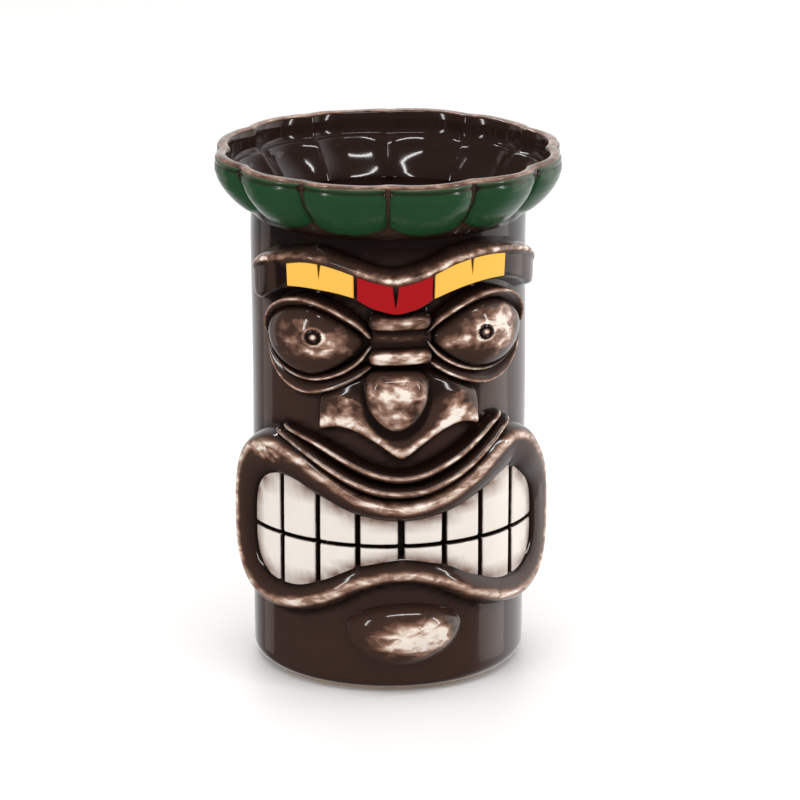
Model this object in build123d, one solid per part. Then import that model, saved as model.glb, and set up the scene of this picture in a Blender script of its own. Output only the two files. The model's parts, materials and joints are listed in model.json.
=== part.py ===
from build123d import *
import os
from math import cos, radians, sin, sqrt, tan

# A slip-cast ceramic tiki mug: a straight round wall with a grimacing tiki face in relief on the
# front and a flared crown of leaves round the mouth. The clay pieces that the face is built up
# from (rolls, pads, balls and teeth) are separate solids that sit on the wall face to face, as
# they are luted on before firing, so each can carry its own glaze. Nothing on the mug moves.
# Millimetres, +Z up. The origin is on the table, on the axis of the wall, and the face looks
# along -Y. Places on the face are given as an angle round the wall and a height, and the face's
# heights are laid out on a wall FACE_BAND high, so a taller wall carries a taller face.

# ---- Driving dimensions ----
HEIGHT = 154.0  # table to lip
BODY_RADIUS = 40.0  # outside of the straight wall
WALL = 4.5  # thickness of the straight wall
FLOOR = 6.0  # table to the inside of the floor
FOOT_HEIGHT = 1.2  # unglazed foot ring under the floor
FOOT_WIDTH = 7.0
FOOT_INSET = 4.0  # from the wall's outside in to the foot ring
BASE_ROUND = 3.5  # rounding of the wall's bottom edge
FLOOR_FILLET = 4.0  # rounding inside, where the wall meets the floor
CROWN_HEIGHT = 18.0  # the flared crown, down from the lip
CROWN_BAND = 18.0  # crown height that the crown's rows are given for
LEAVES = 12
CROWN_TURN = -5.0  # degrees from the nose line to the nearest seam between leaves
LEAF_THICKNESS = 1.2
LEAF_GAP = 0.8  # degrees of bare crown left between two leaves
LIP_BAND = 1.3  # height of the bare lip above the leaves
LIP_ROUND = 0.5
LEDGE_DROP = 7.5  # lip to the ledge inside the crown
FACE_BAND = 136.0  # wall height that the face's heights are given for
FACE_LEAN = 1.3  # degrees that the modelled face leans to the left
BROW_SHIFT = -2.4  # degrees that the brow sits off the nose line
TOOTH_HEIGHT = 3.4  # how far the teeth stand out of the wall
TOOTH_GAP = 0.8
TOOTH_ROUND = 0.9
PAD_THICKNESS = 0.8  # painted pads on the brow
EYE_RADIUS = 10.6
EYE_SINK = 4.5  # eyeball's axis behind the wall's surface
PUPIL_RADIUS = 2.3
PUPIL_HOLE = 1.1
PUPIL_DEPTH = 1.0
PUPIL_PROUD = 0.15  # pupil ring's face above the eyeball

# ---- What follows from them ----
WALL_TOP = HEIGHT - CROWN_HEIGHT
INNER_RADIUS = BODY_RADIUS - WALL
FOOT_RADIUS = BODY_RADIUS - FOOT_INSET
STRETCH = WALL_TOP / FACE_BAND
CROWN_STRETCH = CROWN_HEIGHT / CROWN_BAND
BURY = 1.5  # how far a relief piece reaches into the wall before it is trimmed to it
QUARTER = 0.5523  # reach of the handles that make a Bezier a quarter of an ellipse
ROLL_FOOT = 0.3  # height of a roll's straight foot above the wall
core = Pos(0, 0, HEIGHT / 2) * Cylinder(BODY_RADIUS, 2 * HEIGHT)


def height_at(angle, z):
    """Height of a face point on this wall: stretched to the wall, and leaning with the face."""
    return STRETCH * z + BODY_RADIUS * radians(angle) * tan(radians(FACE_LEAN))


def spot(angle, z, lift=0.0):
    """The point at an angle round from the nose line (positive to +X), lifted off the wall."""
    reach = BODY_RADIUS + lift
    turn = radians(angle)
    return Vector(reach * sin(turn), -reach * cos(turn), height_at(angle, z))


def outward(angle):
    return Vector(sin(radians(angle)), -cos(radians(angle)), 0)


def roll(stations):
    """A roll of clay pressed on the wall. Each station is angle, height, half width, stand-out.
    Its section is half an ellipse on a short straight foot, and the wall trims the foot."""
    path = Spline(*[spot(angle, z) for angle, z, _, _ in stations])
    sections = []
    for angle, z, half_width, stand_out in stations:
        here = spot(angle, z)
        along = path.tangent_at(path.param_at_point(here))
        tip, side = Vector(stand_out, 0), Vector(ROLL_FOOT, half_width)
        rise = Vector(QUARTER * (stand_out - ROLL_FOOT), 0)
        spread = Vector(0, QUARTER * half_width)
        low_side = Vector(ROLL_FOOT, -half_width)
        lower = Bezier(low_side, low_side + rise, tip - spread, tip)
        upper = Bezier(tip, tip + spread, side + rise, side)
        foot = Polyline(side, (-BURY, half_width), (-BURY, -half_width), low_side)
        plane = Plane(origin=here, x_dir=outward(angle), z_dir=along)
        sections.append(plane * make_face(Wire([lower, upper, *foot.edges()])))
    return loft(sections) - core


def both_ways(half):
    """A list of stations from the nose line outwards, mirrored into one from end to end."""
    left = [(-angle, *rest) for angle, *rest in reversed(half) if angle > 0]
    return left + list(half)


def one_solid(shape):
    """The shape's largest solid: trimming a roll can leave crumbs behind."""
    return max(shape.solids(), key=lambda solid: solid.volume)


# ---- Wall, floor and foot ----
def mug_body():
    bottom = FOOT_HEIGHT
    outside = Polyline(
        (0, bottom),
        (BODY_RADIUS, bottom),
        (BODY_RADIUS, WALL_TOP),
        (INNER_RADIUS, WALL_TOP),
        (INNER_RADIUS, FLOOR),
        (0, FLOOR),
        close=True,
    )
    profile = make_face(Plane.XZ * outside)
    solid = revolve(profile, Axis.Z)
    base_edge = solid.edges().filter_by(GeomType.CIRCLE).filter_by_position(Axis.Z, bottom, bottom)
    solid = fillet(base_edge, BASE_ROUND)
    floor_edge = solid.edges().filter_by(GeomType.CIRCLE).filter_by_position(Axis.Z, FLOOR, FLOOR)
    return fillet(floor_edge, FLOOR_FILLET)


def foot_ring():
    ring = Cylinder(FOOT_RADIUS, FOOT_HEIGHT) - Cylinder(FOOT_RADIUS - FOOT_WIDTH, FOOT_HEIGHT)
    return Pos(0, 0, FOOT_HEIGHT / 2) * ring


# ---- Crown ----
# Each row: drop from the lip, then how far outside the wall's surface the leaf's middle and
# the seam between two leaves stand.
LEAF_FORM = [
    (LIP_BAND, 10.7, 7.4),
    (4.5, 11.2, 7.5),
    (9.0, 10.0, 5.9),
    (13.0, 7.0, 2.3),
    (16.0, 3.1, -0.6),
    (17.6, 0.7, -1.4),
]
CORE_FORM = [
    (0.0, 10.7 - LEAF_THICKNESS, 6.9),
    (4.5, 11.2 - LEAF_THICKNESS, 7.2),
    (9.0, 10.0 - LEAF_THICKNESS, 5.6),
    (13.0, 7.0 - LEAF_THICKNESS, 2.4),
    (16.0, 3.1 - LEAF_THICKNESS, 0.2),
    (CROWN_BAND, 0.0, 0.0),
]
LIP_FORM = (10.7, 8.0)
INNER_LIP_FORM = [(-1.0, 7.4, 5.0), (0.0, 7.2, 4.8), (4.0, 7.0, 4.6), (LEDGE_DROP, 6.3, 4.0)]
INNER_CONE_FORM = [(LEDGE_DROP, 5.2, 2.6), (12.0, 2.0, -0.6), (15.5, -2.6, -4.0), (CROWN_BAND, -WALL, -WALL)]


def scallops(middle, seam):
    """The crown's round outline, an arc for each leaf, from seam to seam."""
    pitch = 360 / LEAVES
    arcs = []
    for leaf in range(LEAVES):
        start = CROWN_TURN + leaf * pitch
        ends = [outward(turn) * (BODY_RADIUS + seam) for turn in (start, start + pitch)]
        crest = outward(start + pitch / 2) * (BODY_RADIUS + middle)
        arcs.append(ThreePointArc(ends[0], crest, ends[1]))
    return make_face(Wire(arcs))


def crown_loft(form):
    rows = [(HEIGHT - drop * CROWN_STRETCH, middle, seam) for drop, middle, seam in form]
    return loft([Pos(0, 0, z) * scallops(middle, seam) for z, middle, seam in rows])


def crown_wall():
    bare = crown_loft(CORE_FORM)
    lip_height = LIP_BAND * CROWN_STRETCH
    band = Pos(0, 0, HEIGHT - lip_height) * extrude(scallops(*LIP_FORM), lip_height)
    solid = bare + band - crown_loft(INNER_LIP_FORM) - crown_loft(INNER_CONE_FORM)
    lip_edges = solid.edges().filter_by_position(Axis.Z, HEIGHT, HEIGHT)
    return fillet(lip_edges, LIP_ROUND)


def crown_leaves():
    """One leaf, cut from the scalloped form outside the bare crown, then turned round."""
    pitch = 360 / LEAVES
    middle = CROWN_TURN + pitch / 2
    half = (pitch - LEAF_GAP) / 2
    reach = 2 * BODY_RADIUS
    corner = [outward(middle - half) * reach, outward(middle + half) * reach]
    slice_face = make_face(Polyline((0, 0), corner[0], corner[1], close=True))
    sector = extrude(slice_face, HEIGHT)
    leaf = (crown_loft(LEAF_FORM) & sector) - crown_loft(CORE_FORM) - core
    leaf = one_solid(leaf)
    return [leaf.rotate(Axis.Z, number * pitch) for number in range(LEAVES)]


# ---- Brow ----
# Each row: angle from the brow's middle, top edge, bottom edge, stand-out.
BROW_FORM = both_ways(
    [
        (0.0, 129.0, 115.8, 6.5),
        (7.0, 129.7, 117.4, 6.5),
        (16.0, 131.6, 120.2, 6.3),
        (30.0, 133.8, 122.3, 6.0),
        (44.0, 133.0, 121.0, 5.4),
        (55.0, 130.8, 118.4, 4.6),
        (62.0, 128.0, 117.0, 3.6),
        (66.0, 125.0, 118.0, 2.0),
    ]
)
PAD_TOP, PAD_BOTTOM = 3.2, 0.8  # a pad's edges, in from the brow's top and bottom edge
PAD_EDGES = (14.8, 43.5)  # angles of the pads' ends, out from the brow's middle
PAD_SPACE = 0.8  # degrees from a pad's end to the line between two pads


def brow_at(angle):
    """The brow's top, bottom and stand-out at any angle, between the stations."""
    for low, high in zip(BROW_FORM, BROW_FORM[1:]):
        if low[0] <= angle <= high[0]:
            share = (angle - low[0]) / (high[0] - low[0])
            return [a + share * (b - a) for a, b in zip(low[1:], high[1:])]
    raise ValueError(f"the brow has no part at {angle} degrees")


def brow_ridge():
    sections = []
    for angle, top, bottom, stand_out in BROW_FORM:
        turn = angle + BROW_SHIFT
        back_top = spot(turn, top, -BURY)
        back_bottom = spot(turn, bottom - BURY, -BURY)
        shoulder = spot(turn, top - 0.6, 0.7 * stand_out)
        crest = spot(turn, top - PAD_TOP, stand_out)
        chin = spot(turn, bottom + PAD_BOTTOM / 2, 0.85 * stand_out)
        upper = ThreePointArc(back_top, shoulder, crest)
        rest = Polyline(crest, chin, back_bottom, back_top)
        sections.append(make_face(Wire([upper, *rest.edges()])))
    return loft(sections) - core


def brow_pad(start, end, notch_width, notch_share, ridge):
    """A painted pad on the brow's front, with a tapering notch cut down from its top middle."""
    sections = []
    count = 7
    for step in range(count):
        angle = start + (end - start) * step / (count - 1)
        top, bottom, stand_out = brow_at(angle)
        turn = angle + BROW_SHIFT
        low = spot(turn, bottom + PAD_BOTTOM, -BURY)
        high = spot(turn, top - PAD_TOP, -BURY)
        front_high = spot(turn, top - PAD_TOP, stand_out + PAD_THICKNESS)
        front_low = spot(turn, bottom + PAD_BOTTOM, 0.87 * stand_out + PAD_THICKNESS)
        sections.append(make_face(Polyline(low, high, front_high, front_low, close=True)))
    middle = (start + end) / 2
    top, bottom, _ = brow_at(middle)
    turn = middle + BROW_SHIFT
    mouth = height_at(turn, top)
    tip = mouth - notch_share * (mouth - height_at(turn, bottom))
    wedge = make_face(Plane.XZ * Polyline((-notch_width, mouth), (notch_width, mouth), (0, tip), close=True))
    cutter = extrude(wedge, 2 * BODY_RADIUS).rotate(Axis.Z, turn)
    return one_solid(loft(sections) - core - ridge - cutter)


# ---- Eyes ----
EYE_ANGLE, EYE_Z = 34.4, 107.9
EYE_REACH = (15.2, 15.0)  # from the eye's middle to its inner corner and to its outer end
EYE_GIRTH = EYE_RADIUS * STRETCH
PUPIL_ANGLE, PUPIL_Z = 31.6, 108.9
UPPER_LID = [
    (12.8, 111.8, 1.2, 3.0),
    (19.0, 117.0, 1.7, 4.8),
    (25.8, 119.9, 1.9, 5.6),
    (33.0, 121.0, 2.0, 5.8),
    (41.0, 120.2, 1.9, 5.2),
    (49.4, 117.2, 1.8, 4.2),
    (54.6, 112.8, 1.5, 3.0),
    (57.0, 108.6, 1.2, 2.0),
]
LOWER_LID = [
    (12.6, 106.0, 1.0, 2.6),
    (16.6, 101.8, 1.2, 3.6),
    (24.4, 98.0, 1.4, 4.2),
    (33.6, 96.6, 1.5, 4.4),
    (43.0, 97.6, 1.4, 4.0),
    (51.4, 101.4, 1.3, 3.2),
    (57.0, 107.0, 1.0, 2.0),
]
EYE_BAG = [
    (13.6, 99.6, 1.3, 2.6),
    (20.0, 95.2, 1.7, 3.2),
    (28.6, 92.2, 1.9, 3.4),
    (38.0, 91.0, 1.9, 3.4),
    (47.2, 93.2, 1.8, 3.2),
    (55.0, 98.2, 1.6, 2.8),
    (59.6, 105.0, 1.2, 2.0),
]


def mirrored(stations):
    return [(-angle, *rest) for angle, *rest in stations]


def eyeball(side):
    """A pear-shaped ball lying across the face, its pointed end at the inner corner of the eye."""
    inner, outer = EYE_REACH
    point = Bezier((-inner, 0), (-0.75 * inner, 0.5 * EYE_GIRTH), (-0.5 * inner, EYE_GIRTH), (0, EYE_GIRTH))
    round_end = Bezier((0, EYE_GIRTH), (0.6 * outer, EYE_GIRTH), (outer, 0.55 * EYE_GIRTH), (outer, 0))
    ball = revolve(make_face(Wire([point, round_end, Line((outer, 0), (-inner, 0))])), Axis.X)
    if side < 0:
        ball = ball.mirror(Plane.YZ)
    lean = side * FACE_LEAN
    middle = spot(side * EYE_ANGLE, EYE_Z, -EYE_SINK)
    ball = ball.rotate(Axis.Y, -lean).rotate(Axis.Z, side * EYE_ANGLE)
    return Pos(*middle) * ball


def pupil(side):
    """A ring set into the eyeball's crown."""
    top = EYE_GIRTH - EYE_SINK + PUPIL_PROUD
    angle = side * PUPIL_ANGLE
    face_point = spot(angle, PUPIL_Z, top)
    plane = Plane(origin=face_point, z_dir=-outward(angle))
    disc = make_face(Wire.make_circle(PUPIL_RADIUS)) - make_face(Wire.make_circle(PUPIL_HOLE))
    return extrude(plane * disc, PUPIL_DEPTH)


# ---- Nose ----
NOSE_TURN = -1.8  # degrees that the tip sits off the nose line
NOSE_Z = 94.6  # height of the tip's widest place
NOSE_HALF_WIDTH = 8.6
NOSE_RISE, NOSE_DROP = 6.6 * STRETCH, 12.4 * STRETCH  # from the widest place up and down
NOSE_OUT = 1.2  # axis of the tip in front of the wall's surface
WING_HEIGHT = 4.6
WING_OUTLINE = [(0.0, 72.4), (32.2, 79.5), (32.2, 90.5), (14.0, 97.5)]  # right half, from the V up
BRIDGE_HEIGHT = 3.2
BRIDGE_HALF = 11.0
BRIDGE_Z = (97.0, 116.0)
UPPER_ROLL = (112.8, 2.7, 5.2)
LOWER_ROLL = (103.2, 2.9, 6.0)


def plate(outline, stand_out):
    """A flat slab bent onto the wall: an outline of angles and heights, with one thickness."""
    points = [spot(angle, z) for angle, z in outline]
    flat = make_face(Polyline(*[(p.X, p.Z) for p in points], close=True))
    block = extrude(Plane.XZ * flat, 2 * BODY_RADIUS)
    shell = Pos(0, 0, HEIGHT / 2) * Cylinder(BODY_RADIUS + stand_out, HEIGHT)
    return (block & shell) - core


def nose_tip():
    """A shield-shaped knob, round above and pointed below."""
    wide = NOSE_HALF_WIDTH
    lower = Bezier((0, -NOSE_DROP), (0.5 * wide, -0.95 * NOSE_DROP), (wide, -0.5 * NOSE_DROP), (wide, 0))
    upper = Bezier((wide, 0), (wide, 0.6 * NOSE_RISE), (0.6 * wide, NOSE_RISE), (0, NOSE_RISE))
    half = make_face(Wire([lower, upper, Line((0, NOSE_RISE), (0, -NOSE_DROP))]))
    upright = revolve(half, Axis.Y).rotate(Axis.X, 90)
    return Pos(*spot(NOSE_TURN, NOSE_Z, NOSE_OUT)) * upright - core


def wings():
    right = WING_OUTLINE
    left = [(-angle, z) for angle, z in reversed(right) if angle > 0]
    return plate(right + left, WING_HEIGHT)


def nose_bridge():
    low, high = BRIDGE_Z
    outline = [(-BRIDGE_HALF, low), (BRIDGE_HALF, low), (BRIDGE_HALF, high), (-BRIDGE_HALF, high)]
    return plate(outline, BRIDGE_HEIGHT)


def bridge_roll(z, half_width, stand_out):
    return roll([(angle, z, half_width, stand_out) for angle in (-BRIDGE_HALF, 0, BRIDGE_HALF)])


# ---- Mouth ----
# The two lips meet at the corners of the mouth, where the lower one is trimmed to the upper one.
MOUTH_CORNER, MOUTH_CORNER_Z, CORNER_OVERLAP = 75.9, 46.0, 2.5
UPPER_LIP = both_ways(
    [
        (0.0, 57.0, 3.4, 6.3),
        (15.8, 60.0, 3.7, 6.4),
        (28.6, 64.6, 4.4, 6.6),
        (40.1, 68.8, 5.2, 6.8),
        (51.6, 70.4, 6.2, 7.0),
        (63.0, 67.6, 6.9, 7.2),
        (71.6, 60.4, 7.3, 7.4),
        (75.2, 53.0, 7.4, 7.5),
        (MOUTH_CORNER, MOUTH_CORNER_Z, 7.4, 7.5),
    ]
)
LOWER_LIP = both_ways(
    [
        (0.0, 38.8, 4.4, 6.0),
        (15.8, 36.2, 4.2, 6.0),
        (30.1, 31.0, 4.3, 6.2),
        (43.0, 28.2, 4.5, 6.4),
        (54.4, 28.2, 5.2, 6.6),
        (65.9, 32.0, 6.2, 7.0),
        (73.8, 39.0, 7.1, 7.3),
        (MOUTH_CORNER, MOUTH_CORNER_Z + CORNER_OVERLAP, 7.4, 7.5),
    ]
)
UPPER_FOLD = both_ways(
    [(0.0, 66.8, 2.3, 4.8), (14.3, 69.6, 2.2, 4.6), (28.6, 74.4, 1.8, 4.0), (44.0, 78.8, 1.3, 2.6)]
)
LOWER_FOLD = both_ways(
    [(0.0, 62.4, 2.6, 5.6), (14.3, 65.1, 2.3, 5.4), (28.6, 70.0, 2.0, 5.0), (49.0, 77.2, 1.4, 3.2)]
)
BITE_Z = 46.4  # the line where upper and lower teeth meet
TOOTH_LINES = (0.0, 16.5, 32.2, 49.8, 67.0)  # angles of the gaps between teeth, from the middle
UPPER_GUM = (57.6, 61.6, 66.6, 66.4)  # where each upper tooth ends, hidden under the lip
LOWER_GUM = (38.2, 34.2, 29.6, 30.2)


def tooth(side, column, gum):
    """A block bent to the wall, rounded on its front edges, from the bite line to the gum."""
    start, end = TOOTH_LINES[column], TOOTH_LINES[column + 1]
    middle = side * (start + end) / 2
    trim = TOOTH_GAP / 2
    low, high = sorted((BITE_Z, gum))
    low = height_at(middle, low) + (trim if gum > BITE_Z else 0)
    high = height_at(middle, high) - (trim if gum < BITE_Z else 0)
    half_turn = (end - start) / 2 - trim / radians(BODY_RADIUS)
    front = BODY_RADIUS + TOOTH_HEIGHT
    profile = make_face(
        Plane.XZ * Polyline((BODY_RADIUS, low), (front, low), (front, high), (BODY_RADIUS, high), close=True)
    )
    block = revolve(profile, Axis.Z, revolution_arc=2 * half_turn)
    middle_now = block.center(CenterOf.BOUNDING_BOX)
    turn_now = Vector(0, -1, 0).get_signed_angle(Vector(middle_now.X, middle_now.Y, 0), Vector(0, 0, 1))
    block = block.rotate(Axis.Z, middle - turn_now)
    front_face = block.faces().sort_by(lambda face: sqrt(face.center().X ** 2 + face.center().Y ** 2))[-1]
    return fillet(front_face.edges(), TOOTH_ROUND)


# ---- Chin ----
CHIN_TURN, CHIN_Z = 2.0, 19.6
CHIN_HALF_WIDTH = 15.6
CHIN_RADIUS = 9.4
CHIN_SINK = 3.4


def chin():
    """An egg-shaped knob lying across the wall under the mouth."""
    wide = CHIN_HALF_WIDTH
    left = Bezier((-wide, 0), (-wide, 0.6 * CHIN_RADIUS), (-0.6 * wide, CHIN_RADIUS), (0, CHIN_RADIUS))
    right = Bezier((0, CHIN_RADIUS), (0.6 * wide, CHIN_RADIUS), (wide, 0.6 * CHIN_RADIUS), (wide, 0))
    half = make_face(Wire([left, right, Line((wide, 0), (-wide, 0))]))
    egg = revolve(half, Axis.X).rotate(Axis.Z, CHIN_TURN)
    return Pos(*spot(CHIN_TURN, CHIN_Z, -CHIN_SINK)) * egg - core


# ---- Assembly: each later piece is trimmed to the ones that it butts against ----
def trimmed(piece, *neighbours):
    for neighbour in neighbours:
        piece = piece - neighbour
    return one_solid(piece)


parts = {
    "mug_body": mug_body(),
    "foot_ring": foot_ring(),
    "crown_wall": crown_wall(),
}
for number, leaf in enumerate(crown_leaves(), start=1):
    parts[f"crown_leaf_{number:02d}"] = leaf

ridge = one_solid(brow_ridge())
parts["brow_ridge"] = ridge
near, far = PAD_EDGES
parts["brow_pad_left"] = brow_pad(-far, -near - PAD_SPACE, 0.55, 0.66, ridge)
parts["brow_pad_centre"] = brow_pad(-near + PAD_SPACE, near - PAD_SPACE, 0.9, 0.9, ridge)
parts["brow_pad_right"] = brow_pad(near + PAD_SPACE, far, 0.55, 0.66, ridge)

tip = one_solid(nose_tip())
for name, side in (("left", -1), ("right", 1)):
    stations = mirrored if side < 0 else list
    upper = trimmed(roll(stations(UPPER_LID)), ridge)
    lower = trimmed(roll(stations(LOWER_LID)), upper)
    ring = pupil(side)
    ball = trimmed(eyeball(side) - core, upper, lower, ridge, ring)
    parts[f"upper_lid_{name}"] = upper
    parts[f"lower_lid_{name}"] = trimmed(lower, ball)
    parts[f"pupil_{name}"] = ring
    parts[f"eyeball_{name}"] = ball
    parts[f"eye_bag_{name}"] = trimmed(roll(stations(EYE_BAG)), lower, upper, ball, tip)

upper_roll = trimmed(bridge_roll(*UPPER_ROLL), ridge)
lower_roll = trimmed(bridge_roll(*LOWER_ROLL), tip)
lid_names = [f"{part}_{name}" for part in ("upper_lid", "lower_lid", "eye_bag") for name in ("left", "right")]
lids = [parts[name] for name in lid_names]
eyes = [parts[f"eyeball_{name}"] for name in ("left", "right")]
parts["nose_tip"] = tip
parts["nose_roll_upper"] = trimmed(upper_roll, *lids, *eyes)
parts["nose_roll_lower"] = trimmed(lower_roll, *lids, *eyes)
parts["nose_bridge"] = trimmed(nose_bridge(), ridge, upper_roll, lower_roll, tip, *lids, *eyes)
parts["nose_wings"] = trimmed(wings(), tip, *lids, parts["nose_bridge"], lower_roll)

upper_lip = one_solid(roll(UPPER_LIP))
lower_lip = trimmed(roll(LOWER_LIP), upper_lip)
lower_fold = trimmed(roll(LOWER_FOLD), upper_lip)
parts["upper_lip"] = upper_lip
parts["lower_lip"] = lower_lip
parts["lip_fold_lower"] = lower_fold
parts["lip_fold_upper"] = trimmed(roll(UPPER_FOLD), lower_fold, upper_lip, parts["nose_wings"])
for name, side in (("left", -1), ("right", 1)):
    for column in range(len(TOOTH_LINES) - 1):
        number = column + 1
        top = tooth(side, column, UPPER_GUM[column])
        parts[f"tooth_upper_{name}_{number}"] = trimmed(top, upper_lip, lower_lip, lower_fold)
        bottom = tooth(side, column, LOWER_GUM[column])
        parts[f"tooth_lower_{name}_{number}"] = trimmed(bottom, lower_lip, upper_lip)
parts["chin"] = trimmed(chin(), lower_lip)

os.makedirs("parts", exist_ok=True)
for name, shape in parts.items():
    export_step(shape, f"parts/{name}.step")
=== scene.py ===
# %% [markdown]
# # A glazed tiki mug
# The real mug starts as a plain round wall of clay. Rolls, pads and balls of clay are pressed on
# it to make a face, and a scalloped crown is flared out round the mouth. It is dipped in brown
# glaze, the high places are wiped thin so that the pale clay shows through, and the leaves, the
# brow and the teeth are painted. This script works in the same order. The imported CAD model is
# loaded first: it gives the sizes, and every clay piece modelled here stands for one of its nodes.

# %% Load the frame
import json
import math

import bpy
import numpy as np
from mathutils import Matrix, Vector, noise
from mathutils.bvhtree import BVHTree


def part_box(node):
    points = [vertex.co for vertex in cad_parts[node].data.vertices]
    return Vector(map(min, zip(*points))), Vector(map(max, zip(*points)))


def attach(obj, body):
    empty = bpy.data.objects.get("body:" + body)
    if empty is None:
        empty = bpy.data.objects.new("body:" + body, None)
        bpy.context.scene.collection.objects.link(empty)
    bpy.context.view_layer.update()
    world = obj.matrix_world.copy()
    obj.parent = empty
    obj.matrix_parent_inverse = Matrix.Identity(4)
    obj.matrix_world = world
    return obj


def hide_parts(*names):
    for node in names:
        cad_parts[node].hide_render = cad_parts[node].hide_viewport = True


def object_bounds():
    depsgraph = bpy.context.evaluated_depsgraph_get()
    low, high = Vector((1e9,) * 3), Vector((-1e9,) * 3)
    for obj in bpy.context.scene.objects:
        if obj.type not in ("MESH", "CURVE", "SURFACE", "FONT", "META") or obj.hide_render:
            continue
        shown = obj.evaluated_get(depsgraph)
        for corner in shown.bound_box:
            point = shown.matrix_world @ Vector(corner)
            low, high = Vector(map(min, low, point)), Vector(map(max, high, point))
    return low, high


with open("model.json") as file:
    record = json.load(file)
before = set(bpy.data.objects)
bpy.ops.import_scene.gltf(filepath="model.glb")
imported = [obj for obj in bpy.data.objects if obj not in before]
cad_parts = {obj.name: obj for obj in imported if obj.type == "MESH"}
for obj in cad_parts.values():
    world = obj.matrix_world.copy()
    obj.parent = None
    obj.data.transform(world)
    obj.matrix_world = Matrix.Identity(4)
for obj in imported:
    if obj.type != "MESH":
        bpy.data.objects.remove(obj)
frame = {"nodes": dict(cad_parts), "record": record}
cad_box = [list(map(float, corner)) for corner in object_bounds()]
WALL_RADIUS = 1000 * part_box("mug_body")[1][0]
MUG_HEIGHT = 1000 * cad_box[1][2]
print("wall radius", round(WALL_RADIUS, 2), "mm, height", round(MUG_HEIGHT, 2), "mm")

# %% [markdown]
# ## The bench
# A roll of clay is easiest to shape flat on a bench, and is then bent round the wall. On this
# bench X is the distance along the wall, Z is the height above the table and -Y stands out of
# the wall towards the maker, all in millimetres. Bending turns X into an angle. A bend modifier
# could do it too, but a sum on the points is exact and keeps the origin where the export needs it.


# %% Helpers: bench to mug, and smooth lines through a few points
def around(reach, turn, height):
    """Points at a reach from the mug's axis, a turn from its front and a height."""
    return np.stack([reach * np.sin(turn), -reach * np.cos(turn), height], -1)


def bend_to_wall(points):
    """Bench points (mm) to their places on the mug (m)."""
    return around(WALL_RADIUS - points[:, 1], points[:, 0] / WALL_RADIUS, points[:, 2]) * 0.001


def through(points, count):
    """A smooth line through the rows of points, as count rows at even steps along it."""
    points = np.array(points, float)
    gaps = np.linalg.norm(np.diff(points[:, :2], axis=0), axis=1)
    knots = np.concatenate([[0], np.cumsum(np.maximum(gaps, 1e-6))])
    slopes = np.gradient(points, knots, axis=0)
    fine = np.linspace(0, knots[-1], count)
    i = np.clip(np.searchsorted(knots, fine, side="right") - 1, 0, len(knots) - 2)
    span = (knots[i + 1] - knots[i])[:, None]
    x = (fine[:, None] - knots[i][:, None]) / span
    a, b = points[i], points[i + 1]
    p, q = slopes[i] * span, slopes[i + 1] * span
    line = (2 * x**3 - 3 * x**2 + 1) * a + (x**3 - 2 * x**2 + x) * p
    return line + (3 * x**2 - 2 * x**3) * b + (x**3 - x**2) * q


def leave_edit():
    bpy.ops.object.mode_set(mode="OBJECT")


def clear_selection():
    if bpy.context.object and bpy.context.object.mode != "OBJECT":
        leave_edit()
    bpy.ops.object.select_all(action="DESELECT")


def new_piece(add, name, **sizes):
    """Adds one primitive, with nothing else selected, and names it."""
    clear_selection()
    add(**sizes)
    piece = bpy.context.object
    piece.name = piece.data.name = name
    return piece


def edit_all():
    bpy.ops.object.mode_set(mode="EDIT")
    bpy.ops.mesh.select_all(action="SELECT")


def turn_to_front():
    """Turns a new piece so that its axis stands out of the wall."""
    edit_all()
    bpy.ops.transform.rotate(value=math.radians(90), orient_axis="X", center_override=(0, 0, 0))
    leave_edit()


def points_of(piece):
    flat = np.empty(3 * len(piece.data.vertices))
    piece.data.vertices.foreach_get("co", flat)
    return flat.reshape(-1, 3)


def move_points(piece, points):
    piece.data.vertices.foreach_set("co", points.ravel())
    piece.data.update()


def paint(piece, name, values):
    """Keeps a number from 0 to 1 at every point, which the glaze reads by name."""
    layer = piece.data.attributes.get(name) or piece.data.attributes.new(name, "FLOAT", "POINT")
    layer.data.foreach_set("value", unit(values).astype(np.float32))


def mark_of(piece, name):
    """The numbers that paint() kept under a name, or zeros."""
    layer = piece.data.attributes.get(name)
    values = np.zeros(len(piece.data.vertices), np.float32)
    if layer:
        layer.data.foreach_get("value", values)
    return values


def speckle(spots, size, seed):
    """Cloudy noise from 0 to 1 at bench points."""
    places = (Vector((x / size, y / size + seed, z / size)) for x, y, z in spots)
    return np.array([0.5 + 0.5 * noise.fractal(place, 1.0, 2.0, 3) for place in places])


def unit(values):
    """Values held between 0 and 1."""
    return np.clip(values, 0, 1)


def hump(values, middle, width):
    """1 where the values are at the middle, falling off smoothly on both sides of it."""
    return np.exp(-(((values - middle) / width) ** 2))


def blot(spots, x, z, wide, tall):
    """1 at one place on the bench, falling off smoothly over a width and a height."""
    return np.exp(-(((spots[:, 0] - x) / wide) ** 2 + ((spots[:, 2] - z) / tall) ** 2))


def rolled_edge(away, radius):
    """How far a surface has dropped where it rolls over an edge, at a distance from that edge."""
    inwards = np.clip(radius - away, 0, radius)
    return radius - np.sqrt(np.clip(radius**2 - inwards**2, 0, None))


# %% [markdown]
# ## A sheet of clay closed into a roll
# Every roll and pad is one grid. Its rows run along the piece, and its columns run round the
# section: over the front, then back through the wall, where nobody sees it. The first and last
# column are merged, the ends are filled, and the result is a closed skin with even faces, which
# takes reflections much more cleanly than a remeshed lump does.


# %% Helper: grid to closed clay piece
SEAM_WIDTH = 0.004


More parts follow.
